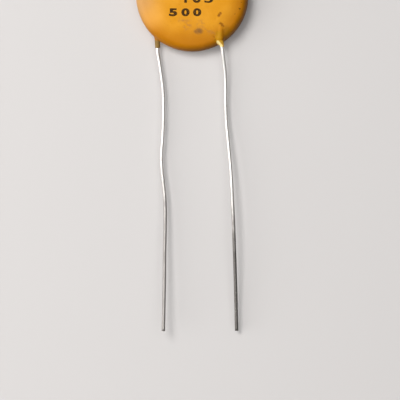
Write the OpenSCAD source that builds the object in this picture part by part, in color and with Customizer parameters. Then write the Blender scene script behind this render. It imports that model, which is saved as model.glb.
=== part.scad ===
// Radial ceramic disc capacitor: a silvered ceramic disc between two soldered
// wire leads, dipped in resin. Millimetres. It lies on its back face with the
// leads pointing to -Y, and the origin is on the rest plane under the disc's centre.

/* [Coated disc] */
// Diameter over the coat
body_d = 16.8; // [15.8:0.1:22]
// Thickness over the coat, between its two flats
body_t = 3.6; // [3.3:0.1:5]
// Radius of the rounded rim, seen in section
rim_r = 1.5; // [1.2:0.05:1.6]
// Radius of the flat in the middle of each face
flat_r = 4.8; // [4.3:0.1:5.4]

/* [Ceramic disc] */
// Diameter of the bare ceramic
ceramic_d = 14.6; // [13.8:0.1:15]
// Thickness of the bare ceramic
ceramic_t = 0.5; // [0.3:0.05:0.8]
// Radius of the pressed edge of the ceramic
ceramic_edge_r = 0.12; // [0.05:0.01:0.14]
// Thickness of the fired silver on each face
silver_t = 0.04; // [0.03:0.01:0.08]
// Bare margin of ceramic around the silver
silver_margin = 0.7; // [0.3:0.05:1.1]

/* [Leads] */
// Diameter of the wire
wire_d = 0.51; // [0.4:0.01:0.64]
// Spacing of the two leads where they leave the coat
lead_pitch = 9.525; // [8:0.005:10.2]
// Sideways shift of the pair from the middle of the disc
lead_shift = -0.42; // [-0.7:0.01:0.7]
// Free length of the leads below the coated disc
lead_l = 41.6; // [15:0.1:80]
// How far below the disc's middle the wires end on the silver
lead_start = 0.8; // [0.3:0.1:1.2]
// Radius of the bends along the free length
bend_r = 6; // [3:0.5:12]

/* [Solder] */
// Solder between the silver and the wire
solder_film = 0.05; // [0.02:0.01:0.1]
// Solder over and beside the wire
solder_cover = 0.1; // [0.06:0.01:0.2]
// Thickness of the solder's feathered edge
solder_edge = 0.03; // [0.02:0.01:0.05]

/* [Resin around the leads] */
// Resin left on the wire at the end of each neck
neck_skin = 0.08; // [0.05:0.01:0.2]
// Radius of the hollow flare between the wire and the disc
flare_r = 1.2; // [0.6:0.1:1.6]
// How far the flare reaches past the rim
flare_l = 0.3; // [0.1:0.05:0.5]
// How far the ridges over the wires stay below the flats
ridge_sink = 0.05; // [0.04:0.01:0.2]
// How far the resin runs down the front lead past the rim
front_neck_l = 0.5; // [0.5:0.05:3]
// How far the resin runs down the back lead past the rim
back_neck_l = 1.2; // [0.5:0.05:3]
// Straight wire between a neck and the first bend
neck_straight = 0.8; // [0.6:0.1:2]

/* [Hidden] */

FRONT = "front";  // the face that points up, with the lead on the right
BACK = "back";  // the face that the part lies on, with the lead on the left

round_fn = 96;  // large circles
wire_fn = 48;  // small circles
wire_sides = 24;  // sides of the wire along its bends
bend_steps = 4;  // steps along each bend
bend_ease = 0.001;  // the flats of the bent part stand this far over the round straights
lap = 0.2;  // the straight ends of a wire reach this far into its bent part
bend_share = 0.4;  // share of a straight that the bend at its end may take
neck_share = 0.6;  // the same for the short straight at the neck

body_r = body_d / 2;
mid_z = body_t / 2;  // height of the disc's middle plane
silver_r = ceramic_d / 2 - silver_margin;
silver_top = ceramic_t / 2 + silver_t;  // height of the silver's face over the middle plane
wire_r = wire_d / 2;
wire_lift = silver_top + solder_film + wire_r;  // height of a soldered wire over the middle plane

// Section of the coat: a flat, a dome and the rounded rim, each tangent to the next.
rim_x = body_r - rim_r;
dome_r = ((rim_x - flat_r) ^ 2 + mid_z ^ 2 - rim_r ^ 2) / (2 * (mid_z - rim_r));
dome_drop = dome_r - mid_z;  // depth of the dome's centre under the middle plane
// Way from the rim's centre to where the dome becomes the rim
rim_way = [rim_x - flat_r, dome_drop] / (dome_r - rim_r);

// Section of the solder: a round top over the wire and a concave foot.
solder_r = wire_r + solder_cover;
solder_h = solder_film + wire_r;  // height of the wire's middle over the silver
foot_r = solder_h - solder_edge;
solder_w = solder_r + foot_r;  // half the width of the foot
solder_flat = 0.03;  // half the width of the flat along the top
solder_margin = 0.1;  // bare silver between the solder's foot and the edge of the silver

// Section of the resin around a wire: the ridge falls to the sleeve in two arcs,
// a round shoulder and a hollow flare, which meet on a slope of 4 in 3.
ridge_r = mid_z - wire_lift - ridge_sink;
sleeve_r = wire_r + neck_skin;
slope_sin = 0.8;
slope_cos = 0.6;
flare_share = 0.75;  // most that the flare may take of both arcs
arcs_r = (ridge_r - sleeve_r) / (1 - slope_cos);  // both arcs' radii together
hollow_r = min(flare_r, arcs_r * flare_share);
shoulder_r = arcs_r - hollow_r;

// Each bend of a lead and its tip: the way down and sideways, in hundredths of lead_l,
// and the height over the rest plane, in hundredths of body_t.
front_shares = [
  [8.7, 1.4, 37], [21.2, 1.5, 32], [46.6, 3.7, 58], [68.8, 4.6, 69], [100, 5.5, 28]
];
back_shares = [
  [14.4, 2, 32], [30, 1.9, 31], [38.7, 1.3, 33], [53.4, 2.7, 42], [85.3, 2.4, 67], [100, 1.9, 74]
];

function way(side) = side == FRONT ? 1 : -1;
function lead_x(side) = lead_shift + way(side) * lead_pitch / 2;
function wire_z(side) = mid_z + way(side) * wire_lift;
// Where the middle of the rim crosses a lead
function rim_y(side) = -sqrt(body_r ^ 2 - lead_x(side) ^ 2);
function neck_l(side) = side == FRONT ? front_neck_l : back_neck_l;
// Where the neck ends and the bare wire begins
function neck_y(side) = rim_y(side) - neck_l(side);
// Where the solder ends, its foot still on the silver
function solder_y(side) = -sqrt((silver_r - solder_w - solder_margin) ^ 2 - lead_x(side) ^ 2);

function unit(v) = v / norm(v);
function turn(p, i) = acos(unit(p[i] - p[i - 1]) * unit(p[i + 1] - p[i]));
// Length that a bend may take from each straight beside it
function room(p, i) =
  min(i == 1 ? neck_straight * neck_share : norm(p[i] - p[i - 1]) * bend_share, norm(p[i + 1] - p[i]) * bend_share);
function bend(p, i) = min(bend_r, room(p, i) / tan(turn(p, i) / 2));
// Length that the bend at point i takes from the straights beside it
function trim(p, i) = i == 0 || i == len(p) - 1 ? 0 : bend(p, i) * tan(turn(p, i) / 2);

// The corners of a lead: straight out of the neck, then each set of the free length.
function lead_points(side) =
  let (x = lead_x(side), z = wire_z(side))
  concat(
    [[x, -lead_start, z], [x, neck_y(side) - neck_straight, z]],
    [for (s = side == FRONT ? front_shares : back_shares)
      [x + s.y / 100 * lead_l, -body_r - s.x / 100 * lead_l, s.z / 100 * body_t]]
  );

// Turns +Z towards b and moves it to a
module along(a, b) {
  d = unit(b - a);
  translate(a) rotate([0, acos(d.z), atan2(d.y, d.x)]) children();
}

// A straight stretch of round wire from a to b
module straight_wire(a, b) {
  along(a, b) cylinder(r = wire_r, h = norm(b - a), $fn = wire_fn);
}

// The places along the bend at corner i, each with the way that the wire runs there
function bend_rings(p, i) =
  let (v = unit(p[i] - p[i - 1]), n = unit(p[i + 1] - p[i]), inward = unit(n - v * (n * v)), r = bend(p, i),
    centre = p[i] - v * trim(p, i) + inward * r)
  [for (k = [0:bend_steps]) let (a = turn(p, i) * k / bend_steps)
    [centre + (v * sin(a) - inward * cos(a)) * r, v * cos(a) + inward * sin(a)]];

// The corners of a wire's section at a ring; its flats just clear the round straights.
function ring_points(ring) =
  let (t = ring[1], side = unit(cross(t, [0, 0, 1])), up = cross(side, t),
    r = (wire_r + bend_ease) / cos(180 / wire_sides))
  [for (k = [0:wire_sides - 1]) let (a = 360 * k / wire_sides) ring[0] + (side * cos(a) + up * sin(a)) * r];

// A round wire through the points p: straight at both ends, with an arc at each corner
module bent_wire(p) {
  last = len(p) - 1;
  first_arc = bend_rings(p, 1)[0];
  last_arc = bend_rings(p, last - 1)[bend_steps];
  rings = concat(
    [[first_arc[0] - first_arc[1] * lap, first_arc[1]]],
    [for (i = [1:last - 1]) each bend_rings(p, i)],
    [[last_arc[0] + last_arc[1] * lap, last_arc[1]]]
  );
  straight_wire(p[0], first_arc[0]);
  sweep(rings);
  straight_wire(last_arc[0], p[last]);
}

module sweep(rings) {
  n = wire_sides;
  end = (len(rings) - 1) * n;
  polyhedron(
    points = [for (ring = rings) each ring_points(ring)],
    faces = concat(
      [[for (k = [n - 1:-1:0]) k]],
      [for (j = [0:len(rings) - 2]) for (k = [0:n - 1])
        let (m = (k + 1) % n) [j * n + k, j * n + m, (j + 1) * n + m, (j + 1) * n + k]],
      [[for (k = [0:n - 1]) end + k]]
    )
  );
}

// A round plate with rounded edges, centred on the middle plane
module pressed_disc(d, t, edge_r) {
  rotate_extrude($fn = round_fn) {
    translate([0, -t / 2]) square([d / 2 - edge_r, t]);
    translate([0, edge_r - t / 2]) square([d / 2, t - 2 * edge_r]);
    for (s = [-1, 1])
      translate([d / 2 - edge_r, s * (t / 2 - edge_r)]) circle(edge_r, $fn = wire_fn);
  }
}

// Half the section across the solder on one wire, over the silver
module solder_section() {
  difference() {
    square([solder_w, solder_h]);
    translate([solder_w, solder_h]) circle(foot_r, $fn = wire_fn);
  }
  translate([0, solder_h]) square([solder_flat, solder_r - solder_flat]);
  intersection() {
    translate([solder_flat, solder_h]) circle(solder_r - solder_flat, $fn = wire_fn);
    translate([solder_flat, solder_h]) square(solder_r);
  }
}

// The solder along a wire, with round ends, before the wire is taken out
module solder_mound(side) {
  l = -lead_start - solder_y(side);
  translate([lead_x(side), -lead_start, mid_z + way(side) * silver_top]) mirror([0, 0, side == BACK ? 1 : 0]) {
    rotate([90, 0, 0]) linear_extrude(l) {
      solder_section();
      mirror([1, 0]) solder_section();
    }
    rotate_extrude(angle = 180, $fn = round_fn) solder_section();
    translate([0, -l, 0]) rotate([0, 0, 180])
      rotate_extrude(angle = 180, $fn = round_fn) solder_section();
  }
}

module solder(side) {
  difference() {
    solder_mound(side);
    buried_wire(side);
  }
}

module electrode(side) {
  translate([0, 0, mid_z + way(side) * (ceramic_t + silver_t) / 2])
    cylinder(r = silver_r, h = silver_t, center = true, $fn = round_fn);
}

module lead(side) bent_wire(lead_points(side));

// The straight stretch of a lead in the solder and the resin
module buried_wire(side) {
  p = lead_points(side);
  straight_wire(p[0], p[1]);
}

// Half the section of the coated disc, about its middle plane
module coat_section() {
  translate([0, -mid_z]) square([flat_r, body_t]);
  difference() {
    intersection() {
      translate([flat_r, -dome_drop]) circle(dome_r, $fn = round_fn);
      translate([flat_r, dome_drop]) circle(dome_r, $fn = round_fn);
      translate([flat_r, -mid_z]) square([body_r, body_t]);
    }
    rim_wedge(0);
  }
  intersection() {
    translate([rim_x, 0]) circle(rim_r, $fn = round_fn);
    rim_wedge(rim_r / 2);
  }
}

// The part of the section outside the lines from a point, deep inside the rim's centre,
// to the places where the dome becomes the rim
module rim_wedge(deep) {
  meet = rim_way * rim_r;
  edge = meet + [meet.x + deep, meet.y];
  translate([rim_x, 0]) polygon([
    [-deep, 0], [edge.x, -edge.y], [edge.x + body_r, -edge.y], [edge.x + body_r, edge.y], edge
  ]);
}

module coated_disc() {
  translate([0, 0, mid_z]) rotate_extrude($fn = round_fn) coat_section();
}

// Half the section of the resin around a wire, running along +Y, with 0 at the rim
module neck_section(side) {
  shoulder_y = flare_l - arcs_r * slope_sin;
  meet = [sleeve_r + hollow_r * (1 - slope_cos), flare_l - hollow_r * slope_sin];
  ridge_end = -rim_y(side) - lead_start;
  // ridge
  translate([0, -ridge_end]) square([ridge_r, shoulder_y + ridge_end]);
  // shoulder
  intersection() {
    translate([ridge_r - shoulder_r, shoulder_y]) circle(shoulder_r, $fn = wire_fn);
    translate([0, shoulder_y]) square([ridge_r, meet.y - shoulder_y]);
  }
  polygon([[0, shoulder_y], [ridge_r, shoulder_y], meet, [0, meet.y]]);
  // flare
  difference() {
    translate([0, meet.y]) square([meet.x, flare_l - meet.y]);
    translate([sleeve_r + hollow_r, flare_l]) circle(hollow_r, $fn = wire_fn);
  }
  // sleeve
  translate([0, flare_l]) square([sleeve_r, neck_l(side) - flare_l]);
}

module neck(side) {
  translate([lead_x(side), rim_y(side), wire_z(side)]) rotate([90, 0, 0])
    rotate_extrude($fn = wire_fn) neck_section(side);
}

module ceramic_disc() {
  color("tan") translate([0, 0, mid_z]) pressed_disc(ceramic_d, ceramic_t, ceramic_edge_r);
}
module front_electrode() { color("gainsboro") electrode(FRONT); }
module back_electrode() { color("gainsboro") electrode(BACK); }
module front_solder() { color("darkgray") solder(FRONT); }
module back_solder() { color("darkgray") solder(BACK); }
module front_lead() { color("silver") lead(FRONT); }
module back_lead() { color("silver") lead(BACK); }
module coating() {
  color("#d9941f") difference() {
    union() {
      coated_disc();
      for (side = [FRONT, BACK]) neck(side);
    }
    ceramic_disc();
    translate([0, 0, mid_z]) cylinder(r = silver_r, h = 2 * silver_top, center = true, $fn = round_fn);
    for (side = [FRONT, BACK]) {
      solder_mound(side);
      buried_wire(side);
    }
  }
}

ceramic_disc();
front_electrode();
back_electrode();
front_solder();
back_solder();
front_lead();
back_lead();
coating();
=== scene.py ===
import math

import bpy
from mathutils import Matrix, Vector


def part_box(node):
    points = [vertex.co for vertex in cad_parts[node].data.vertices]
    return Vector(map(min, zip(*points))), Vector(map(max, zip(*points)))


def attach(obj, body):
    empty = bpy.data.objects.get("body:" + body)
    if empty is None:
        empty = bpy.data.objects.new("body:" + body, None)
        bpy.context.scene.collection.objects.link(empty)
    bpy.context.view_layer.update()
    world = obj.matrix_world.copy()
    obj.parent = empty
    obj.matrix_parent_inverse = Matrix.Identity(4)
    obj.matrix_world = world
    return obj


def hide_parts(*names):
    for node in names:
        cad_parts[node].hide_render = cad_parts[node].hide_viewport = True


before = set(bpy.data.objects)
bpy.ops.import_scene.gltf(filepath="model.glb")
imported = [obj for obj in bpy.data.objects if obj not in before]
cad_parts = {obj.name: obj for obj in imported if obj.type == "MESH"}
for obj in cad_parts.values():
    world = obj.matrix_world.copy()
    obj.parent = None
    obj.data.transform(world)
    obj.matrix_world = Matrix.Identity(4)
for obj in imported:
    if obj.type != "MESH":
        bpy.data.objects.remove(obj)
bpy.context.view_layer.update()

print("frame loaded:", ", ".join(sorted(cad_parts)))

mm = 0.001  # pieces are shaped in millimetres and scaled to metres at the end
smoothAngle = math.radians(40)
noiseLow, noiseHigh = 0.3, 0.7  # most of a noise lies between these


def deselectAll():
    bpy.ops.object.select_all(action="DESELECT")


def pick(piece):
    deselectAll()
    piece.select_set(True)
    bpy.context.view_layer.objects.active = piece


def startEdit(piece, everything=True):
    pick(piece)
    bpy.ops.object.mode_set(mode="EDIT")
    if everything:
        bpy.ops.mesh.select_all(action="SELECT")


def endEdit():
    bpy.ops.object.mode_set(mode="OBJECT")


def turnFacesOut():
    bpy.ops.mesh.select_all(action="SELECT")
    bpy.ops.mesh.normals_make_consistent(inside=False)


def applyPlace():
    bpy.ops.object.transform_apply(location=True, rotation=True, scale=True)


def applyModifier(piece, kind, **settings):
    pick(piece)
    modifier = piece.modifiers.new(kind.lower(), kind)
    for key, value in settings.items():
        setattr(modifier, key, value)
    bpy.ops.object.modifier_apply(modifier=modifier.name)


def joinPieces(pieces):
    deselectAll()
    for piece in pieces:
        piece.select_set(True)
    bpy.context.view_layer.objects.active = pieces[0]
    bpy.ops.object.join()
    return bpy.context.active_object


def finishPiece(piece, name, material, replaced=()):
    pick(piece)
    piece.scale = (mm, mm, mm)
    applyPlace()
    piece.name = name
    piece.data.materials.clear()
    piece.data.materials.append(material)
    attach(piece, "root")
    for node in replaced:
        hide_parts(node)
    print("piece done:", name, len(piece.data.polygons), "faces")


def newMaterial(name):
    material = bpy.data.materials.new(name)
    material.use_nodes = True
    tree = material.node_tree
    return material, tree, tree.nodes["Principled BSDF"]


def addNode(tree, kind, values=None, **settings):
    node = tree.nodes.new(kind)
    for key, value in settings.items():
        setattr(node, key, value)
    for socket, value in (values or {}).items():
        node.inputs[socket].default_value = value
    return node


def placeInMm(tree):
    coords = addNode(tree, "ShaderNodeTexCoord")
    mapping = addNode(tree, "ShaderNodeMapping", {"Scale": (1 / mm, 1 / mm, 1 / mm)})
    tree.links.new(coords.outputs["Object"], mapping.inputs["Vector"])
    return mapping.outputs["Vector"]


def shifted(tree, place, location=(0, 0, 0), scale=(1, 1, 1)):
    mapping = addNode(tree, "ShaderNodeMapping", {"Location": location, "Scale": scale})
    tree.links.new(place, mapping.inputs["Vector"])
    return mapping.outputs["Vector"]


def noise(tree, place, scale, detail, roughness):
    node = addNode(tree, "ShaderNodeTexNoise",
                   {"Scale": scale, "Detail": detail, "Roughness": roughness})
    tree.links.new(place, node.inputs["Vector"])
    return node.outputs["Fac"]


def ramp(tree, value, low, high, toLow=0.0, toHigh=1.0):
    node = addNode(tree, "ShaderNodeMapRange",
                   {"From Min": low, "From Max": high, "To Min": toLow, "To Max": toHigh},
                   interpolation_type="SMOOTHSTEP")
    tree.links.new(value, node.inputs["Value"])
    return node.outputs["Result"]


def fade(tree, value, start, full, most=1.0):
    return ramp(tree, value, start, full, 0.0, most)


def plug(tree, value, socket):
    if isinstance(value, bpy.types.NodeSocket):
        tree.links.new(value, socket)
    elif isinstance(value, tuple):
        socket.default_value = (*value, 1)
    else:
        socket.default_value = value


def mathNode(tree, operation, a, b):
    node = addNode(tree, "ShaderNodeMath", operation=operation)
    plug(tree, a, node.inputs[0])
    plug(tree, b, node.inputs[1])
    return node.outputs["Value"]


def blendColours(tree, factor, a, b):
    node = addNode(tree, "ShaderNodeMix", data_type="RGBA")
    for index, value in ((0, factor), (6, a), (7, b)):  # the sockets of a colour mix
        plug(tree, value, node.inputs[index])
    return node.outputs[2]


def roughnessFrom(tree, grain, middle, spread):
    return ramp(tree, grain, noiseLow, noiseHigh, middle + spread[0], middle + spread[1])


def separate(tree, place):
    node = addNode(tree, "ShaderNodeSeparateXYZ")
    tree.links.new(place, node.inputs["Vector"])
    return node.outputs


def addBump(tree, shader, height, strength, distance):
    bump = addNode(tree, "ShaderNodeBump", {"Strength": strength, "Distance": distance})
    tree.links.new(height, bump.inputs["Height"])
    tree.links.new(bump.outputs["Normal"], shader.inputs["Normal"])


def spot(tree, place, centre, radius, stretch=(1, 1, 1)):
    moved = shifted(tree, place, tuple(-c * s / radius for c, s in zip(centre, stretch)),
                    tuple(s / radius for s in stretch))
    gradient = addNode(tree, "ShaderNodeTexGradient", gradient_type="SPHERICAL")
    tree.links.new(moved, gradient.inputs["Vector"])
    return gradient.outputs["Fac"]  # 1 at the centre, 0 from the radius on


def distanceFromAxis(tree, place):
    flat = addNode(tree, "ShaderNodeVectorMath", {1: (1, 1, 0)}, operation="MULTIPLY")
    tree.links.new(place, flat.inputs[0])
    length = addNode(tree, "ShaderNodeVectorMath", operation="LENGTH")
    tree.links.new(flat.outputs["Vector"], length.inputs[0])
    return length.outputs["Value"]


def distanceToLine(tree, place, start, end):
    start, end = Vector(start), Vector(end)
    way = end - start
    fromStart = addNode(tree, "ShaderNodeVectorMath", {1: start}, operation="SUBTRACT")
    tree.links.new(place, fromStart.inputs[0])
    share = addNode(tree, "ShaderNodeVectorMath", {1: way / way.length_squared},
                    operation="DOT_PRODUCT")
    tree.links.new(fromStart.outputs["Vector"], share.inputs[0])
    clamped = addNode(tree, "ShaderNodeClamp")
    tree.links.new(share.outputs["Value"], clamped.inputs["Value"])
    along = addNode(tree, "ShaderNodeVectorMath", {0: way}, operation="SCALE")
    tree.links.new(clamped.outputs["Result"], along.inputs["Scale"])
    apart = addNode(tree, "ShaderNodeVectorMath", operation="DISTANCE")
    tree.links.new(fromStart.outputs["Vector"], apart.inputs[0])
    tree.links.new(along.outputs["Vector"], apart.inputs[1])
    return apart.outputs["Value"]


resinLook = {
    "ochre": (0.60, 0.248, 0.003),
    "paleOchre": (0.65, 0.285, 0.012),
    "deepOchre": (0.42, 0.144, 0.0),
    # dark brown for the rim's painted shade and for dirt specks
    "rimShadeAndSpeckBrown": (0.13, 0.050, 0.001),
    # pale colour of the painted sheen on the left rim
    "leftSheenPale": (0.58, 0.36, 0.15),
    # pale colour of a painted highlight on the lower-left face
    "flankSheenPale": (0.82, 0.41, 0.07),
    "stain": (0.38, 0.16, 0.03),
    "smudge": (0.19, 0.085, 0.022),
    "pitBrown": (0.10, 0.044, 0.003),
    "strokeAndShadeBrown": (0.22, 0.070, 0.0),
    "oliveRidge": (0.42, 0.200, 0.0),
    # olive brown of the painted shade right of the front ridge
    "ridgeShadeOlive": (0.24, 0.108, 0.0),
    "frontSkin": (0.73, 0.40, 0.04),  # thin resin over bright wire
    # painted highlight on the front neck's left flank, over the thinnest resin
    "thinSkinHighlight": (1.0, 0.81, 0.34),
    # thin resin on the back neck, darkened as painted shade where the neck sits low beside the rim
    "shadedBackSkin": (0.21, 0.13, 0.035),
    "wander": 0.5,  # how far the rings stray from round
    "raggedness": 0.6,
    "shadedRimSide": (-6.0, 2.0, 0.25, 0.88),  # x, x and how brown the rim is at each, as painted shade browner on the right, away from the light
    "roughness": 0.43,
    "roughSpread": (-0.04, 0.08),
    "glossyRoughness": 0.30,
    "skinMetallic": 0.3,
    "specular": 0.13,
    "bump": (0.25, 0.00002),
}
# scale, detail and roughness of each noise
resinNoise = {
    "clouds": (0.32, 3.0, 0.55),
    "wander": (0.8, 3.0, 0.6),
    "specks": (3.6, 4.0, 0.7),
    "blotches": (1.7, 3.0, 0.6),
    "smudge": (2.2, 3.0, 0.6),
    "pits": (5.0, 3.0, 0.7),
    "ragged": (5.5, 3.0, 0.65),
    "gloss": (0.9, 3.0, 0.5),
    "grain": (5.0, 3.0, 0.6),
}
# where each effect starts and is full, and the most it covers
resinFade = {
    "clouds": (0.35, 0.68),
    "deepRing": (5.0, 8.2, 0.9),
    "rimRing": (7.5, 8.75),
    "specks": (0.61, 0.76, 0.30),
    "blotches": (0.38, 0.66),
    "stains": (0.03, 0.7, 0.6),
    "smudge": (0.02, 0.62, 0.85),
    "pitGrain": (0.38, 0.60),
    "pits": (0.08, 0.45, 0.9),
    "frontSide": (1.6, 2.2),
    "oliveRidge": (0.72, 0.22, 0.85),
    "frontSkin": (0.54, 0.44),
    "frontSkinTop": (-6.72, -6.86),
    "thinSkinHighlight": (0.36, 0.12),
    "shadedBackSkin": (0.85, 0.45),
}
# broad patches: colour, centre, radius, stretch, fade
resinPatches = {
    # deeper ochre towards the bottom rim between the leads: thicker resin together with painted
    # shade
    "foot": ("deepOchre", (0.2, -7.4, 2.6), 4.6, (1, 1, 1), (0.1, 0.75, 0.55)),
    # painted sheen: the left rim paler, as if lit from the left
    "leftSheen": ("leftSheenPale", (-9.3, -0.9, 2.2), 6.5, (1, 1, 1), (0.05, 0.85, 0.55)),
    # painted highlight: a paler patch on the lower-left face
    "flank": ("flankSheenPale", (-5.7, -3.3, 3.0), 2.9, (1, 1, 1), (0.05, 0.9, 0.4)),
    # painted shade right of the front ridge, where the face turns away from the light
    "shadeBesideRidge": ("ridgeShadeOlive", (5.10, -5.65, 3.2), 1.45, (1.3, 1.0, 0.5), (0.05, 0.75, 0.58)),
}
# the line that each effect follows
resinLines = {
    "oliveRidge": ((3.92, -5.85, 0), (3.86, -6.6, 0)),
    "frontSkin": ((4.08, -6.95, 1.70), (4.42, -8.0, 1.47)),
    "thinSkinHighlight": ((3.68, -6.80, 1.75), (4.26, -7.60, 1.58)),
    "shadedBackSkin": ((-5.20, -7.15, 1.25), (-5.20, -8.0, 1.25)),
}
skinFlattening = 0.6  # the skin's lines reach further up and down than sideways
spotHeight = 3.5
# dark marks left in small pits: x, y, size
coatMarks = [
    (7.05, -2.05, 0.26), (3.30, -6.20, 0.26), (6.70, -0.40, 0.20),
    (6.35, -2.85, 0.16), (7.30, -1.10, 0.18), (3.38, -6.72, 0.24),
]
markStretch = (1, 1, 0.3)
# oblique brown strokes, the last one a painted shade line down the front ridge's right flank: from
# x, y to x, y, half width, strength
strokesAndRidgeShade = [
    (4.18, -2.78, 3.98, -3.14, 0.31, 0.85), (4.19, -4.26, 4.60, -4.64, 0.27, 0.80),
    # painted shade down the front ridge's right flank
    (4.60, -5.35, 4.52, -6.0, 0.32, 0.28),
]
strokeCore = 0.3  # share of a stroke's half width that is full
# faint stains: x, y, size
coatStains = [
    (-0.85, -4.5, 1.3), (2.35, -5.4, 1.0), (1.2, -4.4, 1.1), (-1.6, -3.9, 0.8),
    (3.3, -5.6, 0.7),
]
stainStretch = (1, 1, 0.4)
smudgePlace = {"centre": (0.92, -5.42, 3.6), "radius": 0.95, "stretch": (1, 1.5, 0.4)}
smudgeGrain = (0.30, 0.58, 0.5, 1.0)


def resinGrain(tree, place, name):
    return noise(tree, place, *resinNoise[name])


def addPatch(tree, place, colour, name):
    tint, centre, radius, stretch, fading = resinPatches[name]
    share = fade(tree, spot(tree, place, centre, radius, stretch), *fading)
    return blendColours(tree, share, colour, resinLook[tint])


def nearLine(tree, place, name):
    return fade(tree, distanceToLine(tree, place, *resinLines[name]), *resinFade[name])


def resinBase(tree, place):
    clouds = fade(tree, resinGrain(tree, place, "clouds"), *resinFade["clouds"])
    colour = blendColours(tree, clouds, resinLook["ochre"], resinLook["paleOchre"])
    # the colour deepens towards the rim, where the resin is thick, and as painted shade where the
    # face turns away from the light
    wander = mathNode(tree, "MULTIPLY", resinGrain(tree, place, "wander"), resinLook["wander"])
    radius = mathNode(tree, "ADD", distanceFromAxis(tree, place), wander)
    ring = fade(tree, radius, *resinFade["deepRing"])
    colour = blendColours(tree, ring, colour, resinLook["deepOchre"])
    colour = addPatch(tree, place, colour, "foot")
    # painted shade: the rim is browner towards the right, away from the light
    shadedRimSide = ramp(tree, separate(tree, place)["X"], *resinLook["shadedRimSide"])
    rim = mathNode(tree, "MULTIPLY", fade(tree, radius, *resinFade["rimRing"]), shadedRimSide)
    colour = blendColours(tree, rim, colour, resinLook["rimShadeAndSpeckBrown"])
    # painted sheen on the left rim
    colour = addPatch(tree, place, colour, "leftSheen")
    # painted highlight on the lower-left face
    return addPatch(tree, place, colour, "flank")


def addDirt(tree, place, colour):
    specks = fade(tree, resinGrain(tree, place, "specks"), *resinFade["specks"])
    colour = blendColours(tree, specks, colour, resinLook["rimShadeAndSpeckBrown"])
    blotches = fade(tree, resinGrain(tree, place, "blotches"), *resinFade["blotches"])
    for x, y, size in coatStains:
        stain = spot(tree, place, (x, y, spotHeight), size, stainStretch)
        faint = mathNode(tree, "MULTIPLY", stain, blotches)
        colour = blendColours(tree, fade(tree, faint, *resinFade["stains"]), colour,
                              resinLook["stain"])
    smear = mathNode(tree, "MULTIPLY", spot(tree, place, **smudgePlace),
                     ramp(tree, resinGrain(tree, place, "smudge"), *smudgeGrain))
    colour = blendColours(tree, fade(tree, smear, *resinFade["smudge"]), colour,
                          resinLook["smudge"])
    for x, y, size in coatMarks:
        mark = spot(tree, place, (x, y, spotHeight), size, markStretch)
        torn = mathNode(tree, "MULTIPLY", mark,
                        fade(tree, resinGrain(tree, place, "pits"), *resinFade["pitGrain"]))
        colour = blendColours(tree, fade(tree, torn, *resinFade["pits"]), colour,
                              resinLook["pitBrown"])
    return colour


def addRidgeTintsAndShade(tree, place, colour):
    # the front ridge is a greener yellow low down, with painted shade in brown beside it and down
    # its right flank
    frontSide = fade(tree, separate(tree, place)["Z"], *resinFade["frontSide"])
    fromAbove = shifted(tree, place, scale=(1, 1, 0))
    centred = mathNode(tree, "SUBTRACT", resinGrain(tree, place, "ragged"), 0.5)
    ragged = mathNode(tree, "MULTIPLY", centred, resinLook["raggedness"])
    ridge = distanceToLine(tree, fromAbove, *resinLines["oliveRidge"])
    ridge = fade(tree, mathNode(tree, "ADD", ridge, ragged), *resinFade["oliveRidge"])
    olive = mathNode(tree, "MULTIPLY", ridge, frontSide)
    colour = blendColours(tree, olive, colour, resinLook["oliveRidge"])
    colour = addPatch(tree, place, colour, "shadeBesideRidge")
    for x, y, endX, endY, wide, strength in strokesAndRidgeShade:
        stroke = distanceToLine(tree, fromAbove, (x, y, 0), (endX, endY, 0))
        stroke = mathNode(tree, "ADD", stroke, ragged)
        stroke = fade(tree, stroke, wide, wide * strokeCore, strength)
        stroke = mathNode(tree, "MULTIPLY", stroke, frontSide)
        colour = blendColours(tree, stroke, colour, resinLook["strokeAndShadeBrown"])
    return colour


def makeResin():
    material, tree, shader = newMaterial("ochreResin")
    place = placeInMm(tree)
    colour = addRidgeTintsAndShade(tree, place, addDirt(tree, place, resinBase(tree, place)))
    # thin skin on the two necks, with a painted highlight down the front neck's left flank, where
    # the resin over the wire is thinnest
    lowPlace = shifted(tree, place, scale=(1, 1, skinFlattening))
    belowTop = fade(tree, separate(tree, place)["Y"], *resinFade["frontSkinTop"])
    frontSkin = mathNode(tree, "MULTIPLY", nearLine(tree, lowPlace, "frontSkin"), belowTop)
    colour = blendColours(tree, frontSkin, colour, resinLook["frontSkin"])
    skinHighlight = mathNode(tree, "MULTIPLY", nearLine(tree, lowPlace, "thinSkinHighlight"), frontSkin)
    colour = blendColours(tree, skinHighlight, colour, resinLook["thinSkinHighlight"])
    # the back neck's skin, darkened as painted shade
    colour = blendColours(tree, nearLine(tree, place, "shadedBackSkin"), colour, resinLook["shadedBackSkin"])
    tree.links.new(colour, shader.inputs["Base Color"])
    rough = roughnessFrom(tree, resinGrain(tree, place, "gloss"), resinLook["roughness"],
                          resinLook["roughSpread"])
    glossDrop = mathNode(tree, "MULTIPLY", frontSkin,
                         resinLook["roughness"] - resinLook["glossyRoughness"])
    tree.links.new(mathNode(tree, "SUBTRACT", rough, glossDrop), shader.inputs["Roughness"])
    metallic = mathNode(tree, "MULTIPLY", frontSkin, resinLook["skinMetallic"])
    tree.links.new(metallic, shader.inputs["Metallic"])
    shader.inputs["Specular IOR Level"].default_value = resinLook["specular"]
    addBump(tree, shader, resinGrain(tree, place, "grain"), *resinLook["bump"])
    return material


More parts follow.
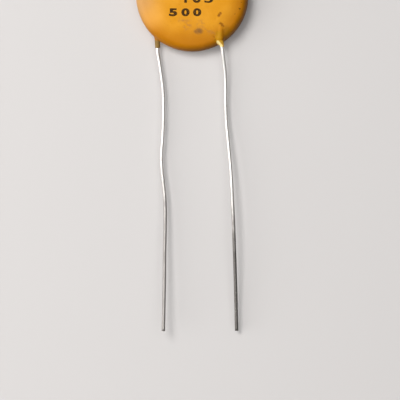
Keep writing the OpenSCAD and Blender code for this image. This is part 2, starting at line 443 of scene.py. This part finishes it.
wireLook = {
    "tin": (0.70, 0.69, 0.67),
    "dullTin": (0.36, 0.345, 0.335),
    "brownTin": (0.14, 0.132, 0.124),
    "patches": (1.6, 4.0, 0.65),
    "patchStretch": (1, 0.35, 1),
    "wander": 9.0,  # mm that the dull part's edge strays along the wire
    "flecks": (5.5, 3.0, 0.6),
    "fleckStretch": (1, 0.5, 1),
    "fleckFade": (0.56, 0.70, 0.45),
    "scratches": (14.0, 2.0, 0.6),
    "scratchStretch": (1, 0.12, 1),
    "roughness": 0.46,
    "roughSpread": (-0.06, 0.08),
    "dullRoughness": 0.12,  # added where the tin is dull
    "bump": (0.25, 0.00001),
}
# mm down from the disc's centre where each wire dulls and browns, and how brown it gets: tarnish
# together with painted dimming of the light towards the tips
tarnishAndDimming = {
    "tinFront": {"dull": (25, 35), "brown": (32, 39, 0.95)},
    "tinBack": {"dull": (23, 33), "brown": (36, 60, 0.30)},
}


def makeTin(name):
    material, tree, shader = newMaterial(name)
    place = placeInMm(tree)
    down = mathNode(tree, "MULTIPLY", separate(tree, place)["Y"], -1.0)
    patches = noise(tree, shifted(tree, place, scale=wireLook["patchStretch"]),
                    *wireLook["patches"])
    centred = mathNode(tree, "SUBTRACT", patches, 0.5)
    reach = mathNode(tree, "ADD", down, mathNode(tree, "MULTIPLY", centred, wireLook["wander"]))
    dull = fade(tree, reach, *tarnishAndDimming[name]["dull"])
    colour = blendColours(tree, dull, wireLook["tin"], wireLook["dullTin"])
    brown = fade(tree, reach, *tarnishAndDimming[name]["brown"])
    colour = blendColours(tree, brown, colour, wireLook["brownTin"])
    flecks = noise(tree, shifted(tree, place, scale=wireLook["fleckStretch"]),
                   *wireLook["flecks"])
    flecks = fade(tree, flecks, *wireLook["fleckFade"])
    colour = blendColours(tree, flecks, colour, wireLook["dullTin"])
    tree.links.new(colour, shader.inputs["Base Color"])
    shader.inputs["Metallic"].default_value = 1.0
    rough = roughnessFrom(tree, patches, wireLook["roughness"], wireLook["roughSpread"])
    duller = mathNode(tree, "MULTIPLY", dull, wireLook["dullRoughness"])
    tree.links.new(mathNode(tree, "ADD", rough, duller), shader.inputs["Roughness"])
    scratches = noise(tree, shifted(tree, place, scale=wireLook["scratchStretch"]),
                      *wireLook["scratches"])
    addBump(tree, shader, scratches, *wireLook["bump"])
    return material


# what the coat hides: pale and dark grain, grain size, roughness, metallic
innerLooks = {
    "ceramic": ((0.50, 0.36, 0.20), (0.36, 0.24, 0.12), 9.0, 0.75, 0.0),
    "firedSilver": ((0.82, 0.80, 0.75), (0.58, 0.54, 0.46), 6.0, 0.42, 1.0),
    "frostedSolder": ((0.66, 0.66, 0.67), (0.38, 0.37, 0.36), 4.0, 0.36, 1.0),
}
innerGrain = {
    "specks": (4.0, 0.7),
    "speckFade": (0.42, 0.66),
    "cloudSize": 8,  # times the specks
    "clouds": (3.0, 0.5),
    "cloudFade": (0.40, 0.75, 0.5),
    "roughSpread": (-0.08, 0.10),
    "bump": (0.3, 0.00001),
}
innerNodes = {
    "ceramic_disc": "ceramic",
    "front_electrode": "firedSilver",
    "back_electrode": "firedSilver",
    "front_solder": "frostedSolder",
    "back_solder": "frostedSolder",
}


def makeInner(name):
    pale, dark, grain, roughness, metallic = innerLooks[name]
    material, tree, shader = newMaterial(name)
    place = placeInMm(tree)
    specks = noise(tree, place, grain, *innerGrain["specks"])
    clouds = noise(tree, place, grain / innerGrain["cloudSize"], *innerGrain["clouds"])
    colour = blendColours(tree, fade(tree, specks, *innerGrain["speckFade"]), pale, dark)
    colour = blendColours(tree, fade(tree, clouds, *innerGrain["cloudFade"]), colour, dark)
    tree.links.new(colour, shader.inputs["Base Color"])
    rough = roughnessFrom(tree, specks, roughness, innerGrain["roughSpread"])
    tree.links.new(rough, shader.inputs["Roughness"])
    shader.inputs["Metallic"].default_value = metallic
    addBump(tree, shader, specks, *innerGrain["bump"])
    return material


def dressNode(node, material):
    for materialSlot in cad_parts[node].material_slots:
        materialSlot.material = material
    print("node dressed:", node)


coat = {
    "faceInset": 0.03,  # left for the unevenness
    "edgeInset": 0.008,
    "flatRadius": 4.8,
    "rimRadius": 1.5,
    "sides": 128,
    "domeSteps": 4,
    "rimSteps": 8,
    "neckSides": 40,
    "voxel": 0.085,
    "smoothing": 6,  # passes
    "waves": (3.2, 0.05),  # size, strength
    "lumps": (1.1, 0.010),
    "silverSides": 96,
    "boreSides": 32,
    "boreRoom": 0.004,  # between the wire and the resin
    "boreStart": -0.8,
    "boreReach": {"front_lead": 6.1, "back_lead": 6.4},
    "crumbFaces": 20,  # loose parts up to this size are dropped
}
# stations along a lead: y, sideways, half width, half height, up
frontNeck = [
    (-1.2, -0.15, 0.90, 1.00, 0.0), (-4.4, -0.18, 0.92, 1.12, 0.0), (-5.2, -0.20, 0.92, 1.06, 0.02),
    (-5.8, -0.22, 0.90, 0.92, 0.08), (-6.2, -0.26, 0.82, 0.76, 0.20),
    (-6.5, -0.29, 0.72, 0.60, 0.34), (-6.72, -0.27, 0.66, 0.56, 0.32),
    (-6.87, -0.20, 0.58, 0.54, 0.25), (-7.02, -0.13, 0.50, 0.49, 0.17),
    (-7.17, -0.05, 0.42, 0.43, 0.10), (-7.32, 0.0, 0.37, 0.37, 0.04),
    (-7.55, 0.06, 0.31, 0.32, 0.0), (-7.74, 0.10, 0.29, 0.30, -0.01),
]
backNeck = [
    (-1.2, 0.0, 1.00, 1.12, 0.0), (-4.6, 0.0, 1.00, 1.10, 0.0), (-5.3, 0.0, 0.86, 0.95, 0.0),
    (-5.9, 0.0, 0.60, 0.70, 0.0), (-6.4, 0.0, 0.45, 0.52, 0.0), (-6.9, -0.01, 0.395, 0.42, 0.0),
    (-7.4, 0.01, 0.40, 0.38, 0.0), (-7.82, 0.01, 0.385, 0.36, 0.0),
]

coatLow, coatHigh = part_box("coating")
middleZ = (coatLow.z + coatHigh.z) / 2 / mm
halfThick = (coatHigh.z - coatLow.z) / 2 / mm - coat["faceInset"]
discRadius = coatHigh.x / mm - coat["edgeInset"]
leadX = {}
leadZ = {}
for lead in ("front_lead", "back_lead"):
    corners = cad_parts[lead].data.vertices
    inner = [v.co / mm for v in corners if v.co.y / mm > -4]  # the straight stretch in the coat
    leadX[lead] = sum(p.x for p in inner) / len(inner)
    leadZ[lead] = sum(p.z for p in inner) / len(inner)
print("lead axes:", leadX, leadZ)


def discRings():
    rimX = discRadius - coat["rimRadius"]
    reach = rimX - coat["flatRadius"]
    dome = ((reach ** 2 + halfThick ** 2 - coat["rimRadius"] ** 2)
            / (2 * (halfThick - coat["rimRadius"])))
    drop = dome - halfThick
    turn = math.atan2(drop, reach)
    upper = []
    for k in range(1, coat["domeSteps"] + 1):
        angle = math.pi / 2 + (turn - math.pi / 2) * k / coat["domeSteps"]
        upper.append((coat["flatRadius"] + dome * math.cos(angle), dome * math.sin(angle) - drop))
    for k in range(1, coat["rimSteps"] + 1):
        angle = turn * (1 - k / coat["rimSteps"])
        upper.append((rimX + coat["rimRadius"] * math.cos(angle),
                      coat["rimRadius"] * math.sin(angle)))
    lower = [(r, -z) for r, z in upper[-2::-1]]
    return upper + lower + [(coat["flatRadius"], -halfThick)]


def makeDiscBody():
    deselectAll()
    bpy.ops.mesh.primitive_circle_add(vertices=coat["sides"], radius=coat["flatRadius"],
                                      fill_type="NGON", location=(0, 0, middleZ + halfThick))
    body = bpy.context.active_object
    applyPlace()
    startEdit(body)
    radius, height = coat["flatRadius"], halfThick
    for r, z in discRings():
        bpy.ops.mesh.extrude_region_move(TRANSFORM_OT_translate={"value": (0, 0, z - height)})
        bpy.ops.transform.resize(value=(r / radius, r / radius, 1),
                                 center_override=(0, 0, middleZ + z))
        radius, height = r, z
    turnFacesOut()
    endEdit()
    return body


def makeNeck(lead, stations):
    y, side, wide, high, up = stations[0]
    x0, z0 = leadX[lead], leadZ[lead]
    deselectAll()
    bpy.ops.mesh.primitive_circle_add(vertices=coat["neckSides"], radius=1, fill_type="NGON",
                                      location=(x0 + side, y, z0 + up),
                                      rotation=(math.pi / 2, 0, 0))
    neck = bpy.context.active_object
    applyPlace()
    startEdit(neck)
    bpy.ops.transform.resize(value=(wide, 1, high), center_override=(x0 + side, y, z0 + up))
    for nextY, nextSide, nextWide, nextHigh, nextUp in stations[1:]:
        bpy.ops.mesh.extrude_region_move(
            TRANSFORM_OT_translate={"value": (nextSide - side, nextY - y, nextUp - up)})
        y, side, up = nextY, nextSide, nextUp
        bpy.ops.transform.resize(value=(nextWide / wide, 1, nextHigh / high),
                                 center_override=(x0 + side, y, z0 + up))
        wide, high = nextWide, nextHigh
    turnFacesOut()
    endEdit()
    return neck


def addWaves(piece, name, size, strength):
    texture = bpy.data.textures.new(name, "CLOUDS")
    texture.noise_scale = size
    texture.noise_depth = 1
    applyModifier(piece, "DISPLACE", texture=texture, texture_coords="LOCAL", direction="NORMAL",
                  mid_level=0.5, strength=strength)


# pits and dents in the front face: x, y, radius, depth
coatPits = [
    (4.05, -2.92, 0.40, 0.045), (4.42, -4.42, 0.40, 0.045), (3.55, -3.6, 0.35, 0.02),
    (7.05, -2.05, 0.30, 0.03), (3.30, -6.15, 0.40, 0.05), (2.4, -5.2, 0.40, 0.015),
    (-3.8, -6.0, 0.6, 0.02), (-6.6, -1.2, 0.5, 0.02), (5.9, -4.9, 0.55, 0.025),
]


def pressPits(piece):
    tops = [v for v in piece.data.vertices if v.normal.z > 0.2]  # the face and the upper rim
    spots = []
    for x, y, radius, depth in coatPits:
        nearest = min(tops, key=lambda v: (v.co.x - x) ** 2 + (v.co.y - y) ** 2)
        spots.append((nearest.index, nearest.normal.copy(), radius, depth))
    startEdit(piece)
    bpy.ops.mesh.select_mode(type="VERT")
    for index, normal, radius, depth in spots:
        bpy.ops.mesh.select_all(action="DESELECT")
        endEdit()
        piece.data.vertices[index].select = True
        startEdit(piece, everything=False)
        bpy.ops.transform.translate(value=tuple(-normal * depth), use_proportional_edit=True,
                                    proportional_edit_falloff="SMOOTH", proportional_size=radius)
    endEdit()


def copyInMm(node):
    copy = bpy.data.objects.new("cutter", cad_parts[node].data.copy())
    bpy.context.scene.collection.objects.link(copy)
    copy.scale = (1 / mm,) * 3
    startEdit(copy)
    bpy.ops.mesh.remove_doubles(threshold=1e-7)  # a node's triangles are loose
    endEdit()
    applyPlace()
    return copy


def makeCutters():
    cutters = [copyInMm(node) for node in ("ceramic_disc", "front_solder", "back_solder")]
    silverLow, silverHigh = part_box("back_electrode")[0] / mm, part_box("front_electrode")[1] / mm
    deselectAll()
    bpy.ops.mesh.primitive_cylinder_add(vertices=coat["silverSides"], radius=silverHigh.x,
                                        depth=silverHigh.z - silverLow.z,
                                        location=(0, 0, (silverLow.z + silverHigh.z) / 2))
    cutters.append(bpy.context.active_object)
    for lead, reach in coat["boreReach"].items():
        middle = (leadX[lead], coat["boreStart"] - reach / 2, leadZ[lead])
        deselectAll()
        bpy.ops.mesh.primitive_cylinder_add(vertices=coat["boreSides"],
                                            radius=wire["radius"] + coat["boreRoom"],
                                            depth=reach, location=middle,
                                            rotation=(math.pi / 2, 0, 0))
        cutters.append(bpy.context.active_object)
    return cutters


def dropCrumbs(piece):
    pick(piece)
    bpy.ops.mesh.separate(type="LOOSE")
    parts = list(bpy.context.selected_objects)
    whole = [part for part in parts if len(part.data.polygons) > coat["crumbFaces"]]
    for part in parts:
        if part not in whole:
            bpy.data.objects.remove(part)
    return joinPieces(whole)


def makeCoat():
    body = makeDiscBody()
    necks = [makeNeck("front_lead", frontNeck), makeNeck("back_lead", backNeck)]
    piece = joinPieces([body, *necks])
    applyModifier(piece, "REMESH", mode="VOXEL", voxel_size=coat["voxel"], use_smooth_shade=True)
    applyModifier(piece, "SMOOTH", factor=0.5, iterations=coat["smoothing"])
    print("coat remeshed:", len(piece.data.polygons), "faces")
    addWaves(piece, "coatWaves", *coat["waves"])
    addWaves(piece, "coatLumps", *coat["lumps"])
    pressPits(piece)
    print("coat shaped")
    for cutter in makeCutters():
        applyModifier(piece, "BOOLEAN", object=cutter, operation="DIFFERENCE", solver="EXACT")
        bpy.data.objects.remove(cutter)
    piece = dropCrumbs(piece)
    bpy.ops.object.shade_smooth_by_angle(angle=smoothAngle)
    print("coat hollowed")
    return piece


wire = {
    "radius": 0.255,
    "curveSteps": 10,
    "roundSteps": 6,
    "lumps": (0.7, 0.012),  # size, strength
    "nipLength": 0.28,
    "nipThickness": 0.35,  # share of the wire left where it is nipped off
    "nipWidth": 1.08,
    "endReach": 0.03,  # what lies this near to the tip is pressed in full
    "mergeDistance": 0.0005,
}
# points along the middle of each lead, from the solder to the tip
frontPath = [
    (4.34, -0.80, 2.395), (4.34, -4.2, 2.395), (4.24, -6.2, 2.395), (4.22, -6.9, 2.395),
    (4.37, -7.5, 2.395), (4.50, -8.2, 2.355), (4.60, -8.9, 2.22), (4.77, -10.2, 1.86),
    (4.92, -11.8, 1.46), (4.97, -13.6, 1.26), (4.98, -16.2, 1.18), (5.10, -19.0, 1.29),
    (5.40, -22.2, 1.59), (5.76, -26.3, 1.95), (5.98, -30.5, 2.21), (6.16, -34.6, 2.37),
    (6.25, -37.2, 2.40), (6.34, -39.8, 2.16), (6.50, -45.2, 1.55), (6.61, -49.5, 1.07),
    (6.63, -49.99, 1.02),
]
backPath = [
    (-5.18, -0.80, 1.205), (-5.18, -5.0, 1.205), (-5.18, -7.6, 1.205), (-5.11, -8.8, 1.20),
    (-4.93, -9.8, 1.19), (-4.72, -11.2, 1.18), (-4.50, -12.8, 1.165), (-4.34, -14.4, 1.155),
    (-4.30, -16.6, 1.14), (-4.33, -19.4, 1.125), (-4.47, -22.0, 1.14), (-4.61, -23.9, 1.19),
    (-4.52, -26.0, 1.27), (-4.28, -28.2, 1.39), (-4.08, -30.6, 1.53), (-4.03, -33.4, 1.70),
    (-4.11, -37.8, 2.00), (-4.15, -42.2, 2.29), (-4.22, -46.4, 2.51), (-4.29, -49.5, 2.64),
    (-4.30, -49.99, 2.66),
]
# path, material, node
leads = {
    "frontWire": (frontPath, "tinFront", "front_lead"),
    "backWire": (backPath, "tinBack", "back_lead"),
}


def nipEnd(lead, tip):
    startEdit(lead)
    bpy.ops.mesh.select_mode(type="VERT")
    bpy.ops.mesh.select_all(action="DESELECT")
    endEdit()
    for v in lead.data.vertices:
        v.select = v.co.y < tip[1] + wire["endReach"]
    startEdit(lead, everything=False)
    bpy.ops.transform.resize(value=(wire["nipWidth"], 1, wire["nipThickness"]),
                             center_override=tip, use_proportional_edit=True,
                             proportional_edit_falloff="LINEAR",
                             proportional_size=wire["nipLength"])
    endEdit()


def makeWire(path):
    deselectAll()
    bpy.ops.curve.primitive_bezier_curve_add()
    line = bpy.context.active_object
    spline = line.data.splines[0]
    spline.bezier_points.add(len(path) - 2)
    for point, place in zip(spline.bezier_points, path):
        point.co = place
        point.handle_left_type = point.handle_right_type = "AUTO"
    line.data.dimensions = "3D"
    line.data.resolution_u = wire["curveSteps"]
    line.data.bevel_depth = wire["radius"]
    line.data.bevel_resolution = wire["roundSteps"]
    line.data.use_fill_caps = True
    pick(line)
    bpy.ops.object.convert(target="MESH")
    lead = bpy.context.active_object
    startEdit(lead)
    bpy.ops.mesh.remove_doubles(threshold=wire["mergeDistance"])
    turnFacesOut()
    endEdit()
    nipEnd(lead, path[-1])
    return lead


ink = {
    "colour": (0.040, 0.019, 0.004),
    "worn": (0.16, 0.072, 0.010),
    "grain": (4.5, 4.0, 0.65),
    "wear": (0.50, 0.64, 0.9),
    "roughness": (0.70, 0.85),
    "specular": 0.12,
    "thickness": 0.012,
    "lift": 0.002,
    "cell": 0.12,  # the digits are cut this fine to follow the face
    "curveSteps": 8,
    "mergeDistance": 0.02,
    "straightAngle": math.radians(1),
    "dropHeight": 0.5,  # the digits are laid on the face from here
}
# foot y and height of each row, then sign, middle x, width and boldness of each digit
digitRows = [
    (-1.24, 1.45, [("1", -1.16, 0.74, 0), ("0", 0.66, 1.30, 0.040), ("3", 2.45, 1.30, 0.025)]),
    (-3.22, 1.19, [("5", -2.85, 1.22, 0.052), ("0", -1.01, 1.22, 0.052),
                   ("0", 0.72, 1.22, 0.052)]),
]
oneShape = {
    "stem": (0.19, 0.70, 1),
    "flagFoot": 0.18,
    "flag": (-0.16, -0.10, 0),
}


def makeInk():
    material, tree, shader = newMaterial("stampInk")
    place = placeInMm(tree)
    grain = noise(tree, place, *ink["grain"])
    colour = blendColours(tree, fade(tree, grain, *ink["wear"]), ink["colour"], ink["worn"])
    tree.links.new(colour, shader.inputs["Base Color"])
    rough = ramp(tree, grain, noiseLow, noiseHigh, *ink["roughness"])
    tree.links.new(rough, shader.inputs["Roughness"])
    shader.inputs["Specular IOR Level"].default_value = ink["specular"]
    return material


def cutInCells(low, high, direction):
    count = int((high - low) / ink["cell"])
    for k in range(1, count + 1):
        bpy.ops.mesh.select_all(action="SELECT")
        bpy.ops.mesh.bisect(plane_co=direction * (low + k * ink["cell"]), plane_no=direction)


def makeOne():
    deselectAll()
    bpy.ops.mesh.primitive_plane_add(size=1)
    one = bpy.context.active_object
    startEdit(one)
    bpy.ops.transform.resize(value=oneShape["stem"])
    bpy.ops.mesh.bisect(plane_co=(0, oneShape["flagFoot"], 0), plane_no=(0, 1, 0))
    bpy.ops.mesh.select_mode(type="VERT")
    bpy.ops.mesh.select_all(action="DESELECT")
    endEdit()
    for v in one.data.vertices:
        v.select = v.co.x < 0 and v.co.y > oneShape["flagFoot"] / 2
    startEdit(one, everything=False)
    bpy.ops.mesh.extrude_edges_move(TRANSFORM_OT_translate={"value": oneShape["flag"]})
    endEdit()
    return one


def makeSign(sign, bold):
    deselectAll()
    bpy.ops.object.text_add(location=(0, 0, 0))
    letter = bpy.context.active_object
    letter.data.body = sign
    letter.data.offset = bold
    letter.data.resolution_u = ink["curveSteps"]
    bpy.ops.object.convert(target="MESH")
    return bpy.context.active_object


def makeDigit(sign, x, y, width, height, bold):
    digit = makeOne() if sign == "1" else makeSign(sign, bold)
    xs = [v.co.x for v in digit.data.vertices]
    ys = [v.co.y for v in digit.data.vertices]
    sizeX, sizeY = max(xs) - min(xs), max(ys) - min(ys)
    digit.scale = (width / sizeX, height / sizeY, 1)
    digit.location = (x - (min(xs) + sizeX / 2) * width / sizeX, y - min(ys) * height / sizeY,
                      middleZ + halfThick + ink["dropHeight"])
    applyPlace()
    startEdit(digit)
    bpy.ops.mesh.remove_doubles(threshold=ink["mergeDistance"])
    bpy.ops.mesh.dissolve_limited(angle_limit=ink["straightAngle"])
    cutInCells(x - width / 2, x + width / 2, Vector((1, 0, 0)))
    cutInCells(y, y + height, Vector((0, 1, 0)))
    endEdit()
    return digit


def makeStamp(coatPiece):
    stamp = joinPieces([makeDigit(sign, x, y, width, height, bold)
                        for y, height, row in digitRows for sign, x, width, bold in row])
    applyModifier(stamp, "SHRINKWRAP", target=coatPiece, wrap_method="PROJECT", use_project_z=True,
                  use_negative_direction=True, use_positive_direction=False, offset=ink["lift"])
    applyModifier(stamp, "SOLIDIFY", thickness=ink["thickness"], offset=-1.0)
    return stamp


coatPiece = makeCoat()
stamp = makeStamp(coatPiece)
finishPiece(coatPiece, "resinCoat", makeResin(), ("coating",))
finishPiece(stamp, "stampedDigits", makeInk())

for name, (path, tin, node) in leads.items():
    lead = makeWire(path)
    addWaves(lead, name + "Lumps", *wire["lumps"])
    pick(lead)
    bpy.ops.object.shade_smooth_by_angle(angle=smoothAngle)
    finishPiece(lead, name, makeTin(tin), (node,))

innerMaterials = {name: makeInner(name) for name in innerLooks}
for node, name in innerNodes.items():
    dressNode(node, innerMaterials[name])

studio = {
    "cameraHeight": 0.45,
    "centreX": 0.001147,
    "centreY": -0.03049,
    "seenWidth": 0.0596,
    "sensor": 36,
    "nearest": 0.01,
    "farthest": 10,
    "floorSize": 1.2,
    "floor": (0.56, 0.548, 0.552),
    "floorRoughness": 0.85,
    "worldColour": (0.94, 0.95, 0.97, 1),
    "world": 0.08,
}
# place, aim, width, length, power, colour
lamps = {
    "keyLight": ((-0.21, 0.16, 0.48), (0, -0.025, 0), 0.24, 0.24, 2.2, (1.0, 0.975, 0.94)),
    "sideLight": ((-0.48, -0.10, 0.26), (0, -0.025, 0), 0.40, 0.40, 2.2, (1.0, 0.98, 0.95)),
    "topLight": ((0.1, -0.3, 0.8), (0.1, -0.3, 0), 0.9, 1.2, 3.8, (1.0, 0.99, 0.97)),
}

deselectAll()
bpy.ops.mesh.primitive_plane_add(size=studio["floorSize"], location=(0, 0, 0))
floor = bpy.context.active_object
floor.name = "floor"
floorMaterial, _, floorShader = newMaterial("paleFloor")
floorShader.inputs["Base Color"].default_value = (*studio["floor"], 1)
floorShader.inputs["Roughness"].default_value = studio["floorRoughness"]
floor.data.materials.append(floorMaterial)

bpy.ops.object.camera_add(location=(studio["centreX"], studio["centreY"], studio["cameraHeight"]),
                          rotation=(0, 0, 0))
camera = bpy.context.active_object
camera.data.sensor_width = studio["sensor"]
cameraRise = studio["cameraHeight"] - middleZ * mm  # over the middle of the disc
camera.data.lens = studio["sensor"] * cameraRise / studio["seenWidth"]
camera.data.clip_start = studio["nearest"]
camera.data.clip_end = studio["farthest"]
bpy.context.scene.camera = camera

for name, (place, aim, wide, long, power, colour) in lamps.items():
    bpy.ops.object.light_add(type="AREA", location=place)
    lamp = bpy.context.active_object
    lamp.name = name
    lamp.data.shape = "RECTANGLE"
    lamp.data.size = wide
    lamp.data.size_y = long
    lamp.data.energy = power
    lamp.data.color = colour
    lamp.rotation_euler = (Vector(aim) - Vector(place)).to_track_quat("-Z", "Y").to_euler()

world = bpy.data.worlds.new("studioWorld")
world.use_nodes = True
background = world.node_tree.nodes["Background"]
background.inputs["Color"].default_value = studio["worldColour"]
background.inputs["Strength"].default_value = studio["world"]
bpy.context.scene.world = world
bpy.context.scene.view_settings.view_transform = "Standard"
print("studio set")
